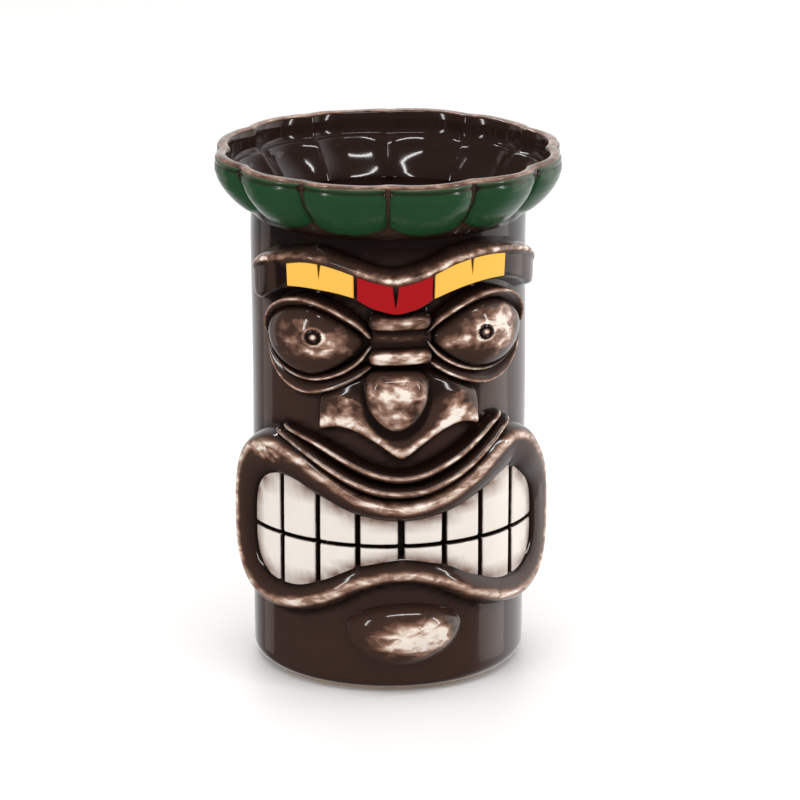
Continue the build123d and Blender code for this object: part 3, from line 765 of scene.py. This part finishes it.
# %% Wings
WING_EDGES = [
    (-23.0, 90.6, 79.2, 3.0), (-20.5, 92.0, 80.4, 3.8), (-17.0, 93.9, 81.2, 4.4),
    (-12.5, 96.2, 80.4, 5.0), (-9.0, 97.6, 78.6, 5.5), (-5.0, 98.6, 75.8, 6.0),
    (-2.0, 99.0, 73.3, 6.4), (0.0, 99.0, 72.2, 6.5), (2.0, 99.0, 73.3, 6.4), (5.0, 98.6, 75.8, 6.0),
    (9.0, 97.6, 78.8, 5.5), (12.5, 96.2, 80.8, 5.0), (17.0, 93.9, 81.8, 4.4),
    (20.5, 92.0, 81.0, 3.8), (23.0, 90.6, 79.8, 3.0),
]
WING_TOP = [(0, 0.92), (0.5, 0.8), (0.85, 0.6), (1.0, 0.3), (1.1, -0.05)]
WING_LOW = [(0, 0.92), (0.5, 0.96), (0.74, 1.0), (0.88, 0.93), (0.97, 0.6), (1.04, 0.2), (1.12, -0.06)]
wings = roll(
    "nostril_wings", between(WING_EDGES), WING_TOP, WING_LOW, step=0.4, across=49, ends=1.3,
    upright=True, wiped_and_highlit=0.0,
)
spots = points_of(wings)
x, y, z = spots.T
wing_x, _, wing_low, _ = np.array(WING_EDGES).T
above = z - np.interp(x, wing_x, wing_low)
cloud = speckle(spots, 4.0, 1.0)
band = hump(above, 2.4, 1.9) * (above > 0.5)
patch = hump(np.abs(x), 15, 6.0) * unit((above - 2) / 3) * (above < 10)
paint(wings, "wipe", band * (0.55 + 0.7 * cloud) + patch * (cloud + 0.05))
# Painted shade, with pooled glaze, in a ring where the wings meet the tip, along their lower edge and over
# their upper part.
around_tip = np.hypot((x + 1.3) / 8.9, (z - 91.4) / 12.4)
ring_of_glaze_and_shade = unit((1.055 - around_tip) / 0.08)
paint(wings, "pool_and_shade", ring_of_glaze_and_shade + (above < 0.25) + unit((above - 10) / 3) * 0.8)
settle(wings, "nose_wings")

# %% [markdown]
# ## Mouth
# The lips are one ring of clay in the shape of a snarl. They are modelled as one closed line
# that runs clockwise round the mouth and is cut in two at its corners, so that the upper and the
# lower lip meet with no step. The crest lies near the outer edge, and the inner flank slopes
# down to the teeth. Two thinner folds of skin follow the upper lip.

# %% Lips
LIP_RING = [
    (-53.0, 46.0, 7.3, 7.2, 0.0), (-52.7, 53.0, 7.3, 7.2, 0.05), (-50.6, 60.2, 7.2, 7.1, 0.2),
    (-45.6, 66.6, 7.2, 7.0, 0.35), (-37.0, 70.3, 7.0, 6.9, 0.45), (-29.5, 68.6, 5.9, 6.7, 0.5),
    (-22.5, 64.9, 4.9, 6.5, 0.5), (-11.5, 58.9, 3.8, 6.3, 0.45), (0.0, 56.6, 3.3, 6.2, 0.4),
    (11.5, 58.9, 3.8, 6.3, 0.45), (22.5, 65.0, 5.0, 6.5, 0.5), (28.0, 69.0, 6.2, 6.7, 0.5),
    (33.2, 71.5, 6.8, 6.9, 0.5), (38.0, 70.2, 6.9, 7.0, 0.45), (43.4, 66.0, 6.9, 7.0, 0.3),
    (49.4, 59.6, 7.0, 7.1, 0.2), (52.3, 53.0, 7.2, 7.2, 0.05), (53.0, 46.0, 7.3, 7.2, 0.0),
    (51.6, 38.8, 7.0, 7.2, 0.05), (46.6, 31.8, 6.2, 7.0, 0.1), (38.5, 28.2, 5.2, 6.7, 0.15),
    (30.0, 28.4, 4.7, 6.5, 0.2), (21.0, 31.4, 4.4, 6.3, 0.2), (11.0, 36.6, 4.3, 6.1, 0.2),
    (0.0, 39.0, 4.5, 6.0, 0.2), (-11.5, 36.2, 4.3, 6.1, 0.2), (-21.5, 30.8, 4.4, 6.3, 0.2),
    (-30.0, 28.0, 4.7, 6.5, 0.2), (-38.5, 27.8, 5.2, 6.7, 0.15), (-46.6, 31.6, 6.2, 7.0, 0.1),
    (-51.6, 38.8, 7.0, 7.2, 0.05), (-53.0, 46.0, 7.3, 7.2, 0.0),
]
CORNER_X, CORNER_Z = 53.0, 46.0
ring_line = through(LIP_RING[-3:-1] + LIP_RING + LIP_RING[1:3], 1200)
first, last, closing = (
    int(np.argmin(np.hypot(ring_line[a:b, 0] - x, ring_line[a:b, 1] - CORNER_Z))) + a
    for x, a, b in ((-CORNER_X, 0, 300), (CORNER_X, 300, 900), (-CORNER_X, 900, 1200))
)


def uneven(share):
    """How pale the crest of a lip is painted along its length: wiped glaze and painted highlight."""
    return 1.05 + 0.12 * np.sin(11 * share + 1.0) + 0.08 * np.sin(29 * share)


# The lips' crests get a pale line of wiped glaze and painted highlight, and their flanks painted shade.
lip_finish = {"across": 45, "ends": 0, "wiped_and_highlit": uneven, "line_width": 1.75, "dark_glaze_and_shade": (0.35, 0.5)}
upper_lip = roll("lip_upper", ring_line[first : last + 1], STEEP, TO_TEETH, **lip_finish)
lower_lip = roll("lip_lower", ring_line[last : closing + 1], STEEP, TO_TEETH, **lip_finish)
for lip, node in ((upper_lip, "upper_lip"), (lower_lip, "lower_lip")):
    spots = points_of(lip)
    corner = blot(spots, -39, 71.5, 10, 4.2) * (spots[:, 1] < -2)
    cloud = speckle(spots, 2.2, 7.0)
    paint(lip, "wipe", corner * (0.1 + 1.1 * cloud))
    settle(lip, node)

# %% Folds above the mouth
FOLD_LOW = [
    (-39.0, 77.4, 1.0, 3.4, 0.1), (-35.0, 76.6, 1.4, 4.4, 0.1), (-28.0, 73.6, 1.9, 5.2, 0.2),
    (-20.0, 69.2, 2.1, 5.6, 0.2), (-12.0, 65.0, 2.2, 5.8, 0.2), (-6.0, 62.9, 2.2, 5.9, 0.2),
    (0.0, 62.3, 2.2, 5.9, 0.2), (6.0, 62.9, 2.2, 5.9, 0.2), (12.0, 65.1, 2.2, 5.8, 0.2),
    (20.0, 69.8, 2.1, 5.6, 0.2), (27.5, 75.4, 1.9, 5.2, 0.2), (31.6, 78.8, 1.6, 4.8, 0.1),
    (35.2, 80.2, 1.2, 4.0, 0.1),
]
FOLD_HIGH = [
    (-36.5, 78.6, 1.0, 2.6, 0.1), (-30.5, 77.4, 1.3, 3.2, 0.1), (-24.0, 75.6, 1.6, 3.8, 0.2),
    (-17.5, 72.6, 1.9, 4.4, 0.2), (-12.0, 69.8, 2.0, 4.7, 0.2), (-5.0, 67.2, 2.1, 5.0, 0.2),
    (0.0, 66.5, 2.1, 5.0, 0.2), (5.0, 67.2, 2.1, 5.0, 0.2), (12.0, 69.9, 2.0, 4.7, 0.2),
    (18.0, 73.2, 1.9, 4.4, 0.2), (24.0, 77.2, 1.6, 3.8, 0.2), (28.4, 80.4, 1.4, 3.6, 0.1),
    (32.4, 82.2, 1.1, 3.2, 0.1),
]
for name, node, stations in (
    ("fold_low", "lip_fold_lower", FOLD_LOW), ("fold_high", "lip_fold_upper", FOLD_HIGH)
):
    # Each fold's crest gets a pale line of wiped glaze and painted highlight, and its flanks painted
    # shade.
    fold = roll(name, stations, across=29, ends=4.0, wiped_and_highlit=1.1, line_width=0.65, dark_glaze_and_shade=(0.9, 0.9))
    settle(fold, node)

# %% [markdown]
# ## Teeth
# Each tooth is a block of clay with its front edges worn round. It starts as a cube, is bevelled,
# and is then cut finely enough to bend with the wall. Its corners are nudged a little, so that the
# gaps between the teeth are not ruled lines.

# %% Teeth
BITE = 46.4
TOOTH_LINES = {"right": [0.2, 11.8, 22.9, 34.6, 49.0], "left": [-0.2, -11.6, -22.9, -34.9, -49.0]}
UPPER_GUM = [58.0, 62.0, 67.5, 67.0]
LOWER_GUM = [37.5, 33.5, 29.0, 29.5]
GAP = 0.85  # between the columns
BITE_GAP = 0.6  # between the jaws
TOOTH_PROUD = 3.5
TOOTH_BEVEL = 0.95
tooth_hand = np.random.default_rng(5)
for side_name, lines in TOOTH_LINES.items():
    for column in range(4):
        for jaw, gum in (("upper", UPPER_GUM[column]), ("lower", LOWER_GUM[column])):
            a, b = sorted((lines[column], lines[column + 1]))
            low, high = sorted((BITE, gum))
            low += BITE_GAP / 2 if jaw == "upper" else 0
            high -= BITE_GAP / 2 if jaw == "lower" else 0
            number = f"{jaw}_{side_name}_{column + 1}"
            tooth = new_piece(bpy.ops.mesh.primitive_cube_add, f"tooth_block_{number}", size=1)
            block = points_of(tooth)
            nudge = tooth_hand.uniform(-0.14, 0.14, (8, 2))
            block[:, 0] = (a + b) / 2 + block[:, 0] * (b - a - GAP) + nudge[:, 0]
            block[:, 2] = (low + high) / 2 + block[:, 2] * (high - low) + nudge[:, 1]
            block[:, 1] = np.where(block[:, 1] < 0, -TOOTH_PROUD, 1.0)
            move_points(tooth, block)
            edit_all()
            bpy.ops.mesh.bevel(offset=TOOTH_BEVEL, segments=6, affect="EDGES")
            leave_edit()
            cut = tooth.modifiers.new("cut_finely", "SUBSURF")
            cut.subdivision_type = "SIMPLE"
            cut.levels = cut.render_levels = 2
            bpy.ops.object.modifier_apply(modifier=cut.name)
            spots = points_of(tooth)
            across = (spots[:, 0] - (a + b) / 2) / (b - a)
            upright = (spots[:, 2] - (low + high) / 2) / (high - low)
            belly = 0.35 * (1 - 4 * across**2) * (1 - 2 * upright**2)
            spots[:, 1] -= np.where(spots[:, 1] < 0, belly, 0)
            move_points(tooth, spots)
            to_side = (0.5 - np.abs(across)) * (b - a) - GAP / 2
            to_bite = (0.5 - np.abs(upright)) * (high - low)
            rounded = 1.1 - np.minimum(to_side, to_bite) / 0.5
            # Dark in the gaps round each tooth, over its rounded edges and on its back: pooled glaze and
            # painted shade.
            paint(tooth, "pool_and_shade", np.maximum(rounded, spots[:, 1] > -2.6))
            bpy.ops.object.shade_smooth()
            settle(tooth, f"tooth_{number}")

# %% [markdown]
# ## Chin
# The chin is a ball of clay pressed flat under the mouth, wider than it is high.

# %% Chin
CHIN_HEIGHT = 6.8


def pressed_flat(flat, spots):
    """Runs the ball out softly into the wall at its sides and below, and leaves it full above."""
    out = unit(np.hypot(spots[:, 0], spots[:, 2]))
    fall = 0.75 + 0.45 * unit(-spots[:, 2]) - 0.22 * unit(spots[:, 2])
    flat[:, 1] = np.where(spots[:, 1] < 0, -CHIN_HEIGHT * (1 - out**2) ** fall, flat[:, 1])
    return flat


chin = ball("chin_knob", (1.3, 20.4), (17.2, 17.4, 12.6, 7.4), CHIN_HEIGHT, pressed_flat)
spots = points_of(chin)
cloud = speckle(spots * [0.7, 1, 1.3], 3.6, 2.0)
pale = blot(spots, 6.2, 18.6, 6.6, 4.6) * (0.85 + 0.3 * cloud)
tan = blot(spots, -3.5, 18.4, 7.5, 6.0) * (0.6 + 0.7 * cloud)
paint(chin, "wipe", (1.9 * pale + 0.62 * tan) * (spots[:, 1] < -1))
settle(chin, "chin")

# %% [markdown]
# ## Where glaze runs together, and shade falls in the corners
# Wet glaze creeps into every corner and lies thick there, and the corners lie in shade as well;
# together they draw the dark lines of this face, and both are painted here as one dark mark. Rather
# than paint each corner by hand, every point is asked how near it is to another piece of clay: the
# nearer, the darker. A search tree of each piece's faces answers that quickly. On the teeth it is
# painted shade near the lips, and they don't darken one another.

# %% Darken the corners with pooled glaze and painted shade
CORNER_REACH = 0.0017  # metres, as finished pieces are
GUM_REACH = 0.0032
PAINTED_FLAT = ("crown_leaf", "brow_pad", "pupil", "chin")  # these neither darken nor are darkened
ONE_ROLL = {"upper_lip", "lower_lip"}
trees, boxes = {}, {}
for node, piece in pieces.items():
    if not node.startswith(PAINTED_FLAT):
        spots = points_of(piece)
        faces = [tuple(face.vertices) for face in piece.data.polygons]
        trees[node] = BVHTree.FromPolygons(spots.tolist(), faces)
        boxes[node] = (spots.min(0) - GUM_REACH, spots.max(0) + GUM_REACH)
for node in trees:
    is_tooth = node.startswith("tooth")
    reach = GUM_REACH if is_tooth else CORNER_REACH
    spots = points_of(pieces[node])
    gap = np.full(len(spots), reach)
    for other, tree in trees.items():
        low, high = boxes[other]
        if other != node and {node, other} != ONE_ROLL and not (is_tooth and other.startswith("tooth")):
            for i in np.flatnonzero(((spots > low) & (spots < high)).all(1)):
                gap[i] = min(gap[i], tree.find_nearest(spots[i], reach)[3] or reach)
    # Painted shade, with pooled glaze: the nearer another piece, the darker.
    deep = 1 - gap / reach
    if is_tooth:
        # Teeth: painted brown shade near the lips.
        paint(pieces[node], "gum", 0.75 * deep**1.5)
    else:
        paint(pieces[node], "pool_and_shade", np.maximum(mark_of(pieces[node], "pool_and_shade"), deep * 1.25))
print(len(trees), "pieces have deep corners")

# %% [markdown]
# ## Glazes
# Brown glaze is glass over dark slip. Where it lies thick it is nearly black, and where the maker
# wiped it off the crests the clay shows through in tan streaks. The pieces carry that as painted
# numbers: wipe says where it was wiped, crest where it was wiped and where a painted highlight
# runs along a crest, and pool where it ran together and where painted shade falls in hollows,
# under ledges and between pieces. The material breaks them up with noise, because a wiped edge
# is never even.


# %% Colours and small node helpers
def paint_colour(red, green, blue):
    """A colour as a paint card gives it (0 to 255), in the renderer's linear numbers."""
    shares = (value / 255 for value in (red, green, blue))
    linear = (s / 12.92 if s <= 0.04045 else ((s + 0.055) / 1.055) ** 2.4 for s in shares)
    return (*linear, 1.0)


class Glaze:
    """A material with its main shader, and short ways to add and join nodes."""

    def __init__(self, name):
        self.material = bpy.data.materials.new(name)
        self.material.use_nodes = True
        self.nodes = self.material.node_tree.nodes
        self.links = self.material.node_tree.links
        self.shader = self.nodes["Principled BSDF"]
        self.place = self.add("TexCoord").outputs["Object"]

    def add(self, kind, **numbers):
        node = self.nodes.new("ShaderNode" + kind)
        for name, number in numbers.items():
            node.inputs[name].default_value = number
        return node

    def join(self, source, target):
        if isinstance(source, bpy.types.NodeSocket):
            self.links.new(source, target)
        else:
            target.default_value = source

    def noise(self, scale, detail=3.0, stretch=None, distortion=0.0, roughness=0.5):
        node = self.add("TexNoise", Scale=scale, Detail=detail, Distortion=distortion, Roughness=roughness)
        place = self.place
        if stretch:
            mapping = self.add("Mapping", Scale=stretch)
            self.links.new(self.place, mapping.inputs["Vector"])
            place = mapping.outputs["Vector"]
        self.links.new(place, node.inputs["Vector"])
        return node.outputs["Fac"]

    def mark(self, name):
        node = self.add("Attribute")
        node.attribute_name = name
        return node.outputs["Fac"]

    def sum(self, operation, *values, clamp=False):
        node = self.add("Math")
        node.operation = operation
        node.use_clamp = clamp
        for value, socket in zip(values, node.inputs):
            self.join(value, socket)
        return node.outputs[0]

    def ramp(self, value, stops):
        """Stops: (where, red, green, blue)."""
        node = self.add("ValToRGB")
        ramp = node.color_ramp
        while len(ramp.elements) < len(stops):
            ramp.elements.new(1.0)
        for element, (position, *colour) in zip(ramp.elements, stops):
            element.position = position
            element.color = paint_colour(*colour)
        self.links.new(value, node.inputs["Fac"])
        return node.outputs["Color"]

    def mix(self, share, first, second):
        node = self.add("Mix")
        node.data_type = "RGBA"
        sockets = [s for s in node.inputs if s.name in ("A", "B") and s.type == "RGBA"]
        self.join(share, node.inputs["Factor"])
        self.join(first, sockets[0])
        self.join(second, sockets[1])
        return next(s for s in node.outputs if s.type == "RGBA")

    def bump(self, height, strength, distance):
        node = self.add("Bump", Strength=strength, Distance=distance)
        self.links.new(height, node.inputs["Height"])
        self.links.new(node.outputs["Normal"], self.shader.inputs["Normal"])

    def finish(self, colour, roughness, coat=0.0):
        self.join(colour, self.shader.inputs["Base Color"])
        self.join(roughness, self.shader.inputs["Roughness"])
        self.shader.inputs["Coat Weight"].default_value = coat
        self.shader.inputs["Coat Roughness"].default_value = 0.04
        return self.material


# %% Brown glaze
brown = Glaze("brown_glaze_over_slip")
streaks = brown.noise(170, 5.0, stretch=(1.0, 1.0, 2.2), distortion=0.6, roughness=0.62)
clouds = brown.noise(38, 3.0, distortion=0.3)
fine = brown.noise(900, 3.0)
# The crest mark is wiped glaze and painted highlight, the wipe mark wiped glaze; the ramp's palest stops
# serve both.
wear_and_highlight = brown.sum("MAXIMUM", brown.mark("wipe"), brown.sum("MULTIPLY", brown.mark("crest"), 0.8))
rough = brown.sum("ADD", 0.35, brown.sum("MULTIPLY", wear_and_highlight, 1.5))
ragged = brown.sum("MULTIPLY", brown.sum("SUBTRACT", streaks, 0.5), rough)
clay_and_highlight_share = brown.sum("ADD", wear_and_highlight, ragged, clamp=True)
clay = brown.ramp(clay_and_highlight_share, [
    (0.0, 54, 37, 31), (0.3, 60, 42, 35), (0.5, 112, 82, 68), (0.7, 160, 126, 108),
    (0.88, 222, 200, 184), (1.0, 246, 236, 224),
])
tone = brown.mix(brown.sum("MULTIPLY", clouds, 0.3), clay, paint_colour(70, 50, 42))
# Near black where the pool mark lies: pooled glaze and painted shade.
deep = brown.sum("MULTIPLY", brown.mark("pool_and_shade"), 0.97, clamp=True)
brown.bump(brown.sum("ADD", clouds, brown.sum("MULTIPLY", fine, 0.02)), 0.25, 0.0006)
brown_glaze = brown.finish(brown.mix(deep, tone, paint_colour(18, 8, 5)), 0.1, coat=0.2)


# %% Painted glazes
def painted(name, colour, shade, marks=(), roughness=0.16, gloss=0.5, coat=0.2):
    """Marks: (painted number, colour that it brings)."""
    glaze = Glaze(name)
    glaze.shader.inputs["Specular IOR Level"].default_value = gloss
    body = glaze.noise(60, 4.0, distortion=0.4)
    tone = glaze.mix(glaze.sum("MULTIPLY", body, 0.5), paint_colour(*colour), paint_colour(*shade))
    for mark, edge in marks:
        brushed = glaze.noise(330, 3.0)
        uneven = glaze.sum("MULTIPLY_ADD", brushed, 1.2, 0.9)
        share = glaze.sum("MULTIPLY", glaze.mark(mark), uneven, clamp=True)
        tone = glaze.mix(share, tone, paint_colour(*edge))
    glaze.bump(body, 0.2, 0.0005)
    return glaze.finish(tone, roughness, coat=coat)


# Leaves: the pool mark brings dark seams and dots, their own colour, and painted shade in the groove under
# the lip; the rim mark is the wiped lip.
green_glaze = painted(
    "green_leaf_glaze", (30, 68, 38), (25, 58, 32), [("pool_and_shade", (34, 22, 16)), ("rim", (84, 80, 66))],
    roughness=0.2,
)
yellow_glaze = painted(
    "yellow_pad_glaze", (239, 185, 80), (232, 174, 68), roughness=0.5, gloss=0.15, coat=0.0
)
red_glaze = painted("red_pad_glaze", (162, 9, 16), (150, 7, 13), roughness=0.5, gloss=0.12, coat=0.0)
# Teeth: the gum mark brings a brown painted shade near the lips, and the pool mark near black in the gaps,
# pooled glaze and painted shade.
white_glaze = painted(
    "white_tooth_glaze", (228, 221, 213), (216, 205, 196),
    [("gum", (120, 94, 82)), ("pool_and_shade", (30, 17, 12))], gloss=0.3,
)
clay_foot = Glaze("bare_foot_clay")
grain = clay_foot.noise(1500, 4.0)
clay_foot.bump(grain, 0.3, 0.0002)
pale_clay = clay_foot.mix(grain, paint_colour(168, 144, 124), paint_colour(196, 174, 152))
bare_clay = clay_foot.finish(pale_clay, 0.8)

FINISHES = {
    "brown_glaze": brown_glaze, "green_glaze": green_glaze, "yellow_glaze": yellow_glaze,
    "red_glaze": red_glaze, "white_glaze": white_glaze, "bare_clay": bare_clay,
}
slots = {part["node"]: part["material_slot"] for part in frame["record"]["subparts"]}
for node, slot in slots.items():
    piece = pieces.get(node) or frame["nodes"][node]
    piece.data.materials.clear()
    piece.data.materials.append(FINISHES[slot])
print(len(pieces), "pieces glazed,", len(slots) - len(pieces), "CAD nodes kept")

# %% [markdown]
# ## Table, light and camera
# The mug stands on a pale table in a white room, which lights it evenly from all round. In
# mirror reflections that room is dim in front and bright behind, so that the glaze stays dark
# where it faces the viewer and shines at its edges. Narrow strips above, behind and at the sides
# give the crests their thin bright lines, and a wide warm box on each side lies on the wall.

# %% Table
clear_selection()
bpy.ops.mesh.primitive_plane_add(size=6, location=(0, 1.2, 0))
floor = bpy.context.object
floor.name = "table_top"
pale = Glaze("pale_table")
grain = pale.noise(4, 2.0)
tone = pale.mix(grain, (0.95, 0.932, 0.918, 1), (0.955, 0.94, 0.93, 1))
floor.data.materials.append(pale.finish(tone, 0.4))
floor.visible_glossy = False


# %% Lights
def soft_box(name, place, aim, width, height, power, colour=(1.0, 1.0, 1.0)):
    light = bpy.data.lights.new(name, "AREA")
    light.shape = "RECTANGLE"
    light.size, light.size_y = width, height
    light.energy = power
    light.color = colour
    lamp = bpy.data.objects.new(name, light)
    bpy.context.scene.collection.objects.link(lamp)
    lamp.location = place
    lamp.rotation_euler = (Vector(aim) - Vector(place)).to_track_quat("-Z", "Y").to_euler()


soft_box("strip_above", (0.05, -0.35, 0.95), (0, 0, 0.1), 0.7, 0.05, 1.9)
soft_box("strip_left", (-0.7, -0.4, 0.42), (0, 0, 0.08), 0.05, 0.4, 0.8)
soft_box("strip_right", (0.7, -0.4, 0.42), (0, 0, 0.08), 0.05, 0.4, 0.8)
soft_box("strip_back", (-0.1, 0.5, 0.7), (0, 0, 0.14), 0.5, 0.05, 1.0)
soft_box("wide_right", (0.797, 0.07, 0.1), (0, 0, 0.08), 0.5, 0.8, 0.92, (1.0, 0.86, 0.8))
soft_box("wide_left", (-0.64, 0.48, 0.1), (0, 0, 0.08), 0.22, 0.8, 0.22, (1.0, 0.86, 0.8))

# %% Room
scene = bpy.context.scene
world = bpy.data.worlds.new("pale_room")
scene.world = world
world.use_nodes = True
world.cycles.sampling_method = "NONE"
nodes, links = world.node_tree.nodes, world.node_tree.links
nodes.clear()


def room_node(kind, **values):
    node = nodes.new("ShaderNode" + kind)
    for name, value in values.items():
        setattr(node, name, value)
    return node


lit = room_node("Background")
lit.inputs["Strength"].default_value = 1.06
mirrored = room_node("Background")
way = room_node("TexCoord")
behind = room_node("VectorMath", operation="DOT_PRODUCT")
behind.inputs[1].default_value = (0.5, 0.866, 0.0)
fade = room_node("MapRange", interpolation_type="SMOOTHSTEP")
for name, value in (("From Min", 0.1), ("From Max", 0.95), ("To Min", 0.07), ("To Max", 0.95)):
    fade.inputs[name].default_value = value
path = room_node("LightPath")
chooser = room_node("MixShader")
output = room_node("OutputWorld")
for source, start, target, end in (
    (way, "Generated", behind, 0), (behind, "Value", fade, "Value"),
    (fade, "Result", mirrored, "Strength"), (path, "Is Glossy Ray", chooser, 0),
    (lit, 0, chooser, 1), (mirrored, 0, chooser, 2), (chooser, 0, output, "Surface"),
):
    links.new(source.outputs[start], target.inputs[end])
for background in (lit, mirrored):
    background.inputs["Color"].default_value = (1, 1, 1, 1)
scene.view_settings.view_transform = "Standard"

# %% Camera
AZIMUTH, ELEVATION, DISTANCE = math.radians(-5), math.radians(16.9), 1.2
right = Vector((math.cos(AZIMUTH), math.sin(AZIMUTH), 0))
aim = right * 0.0034 + Vector((0, 0, 0.07715))
level = math.cos(ELEVATION)
outwards = Vector((math.sin(AZIMUTH) * level, -math.cos(AZIMUTH) * level, math.sin(ELEVATION)))
lens = bpy.data.cameras.new("front_view")
lens.lens = 183.4
lens.sensor_width = 36
lens.clip_end = 20
camera = bpy.data.objects.new("front_view", lens)
scene.collection.objects.link(camera)
camera.location = aim + outwards * DISTANCE
camera.rotation_euler = (-outwards).to_track_quat("-Z", "Y").to_euler()
scene.camera = camera
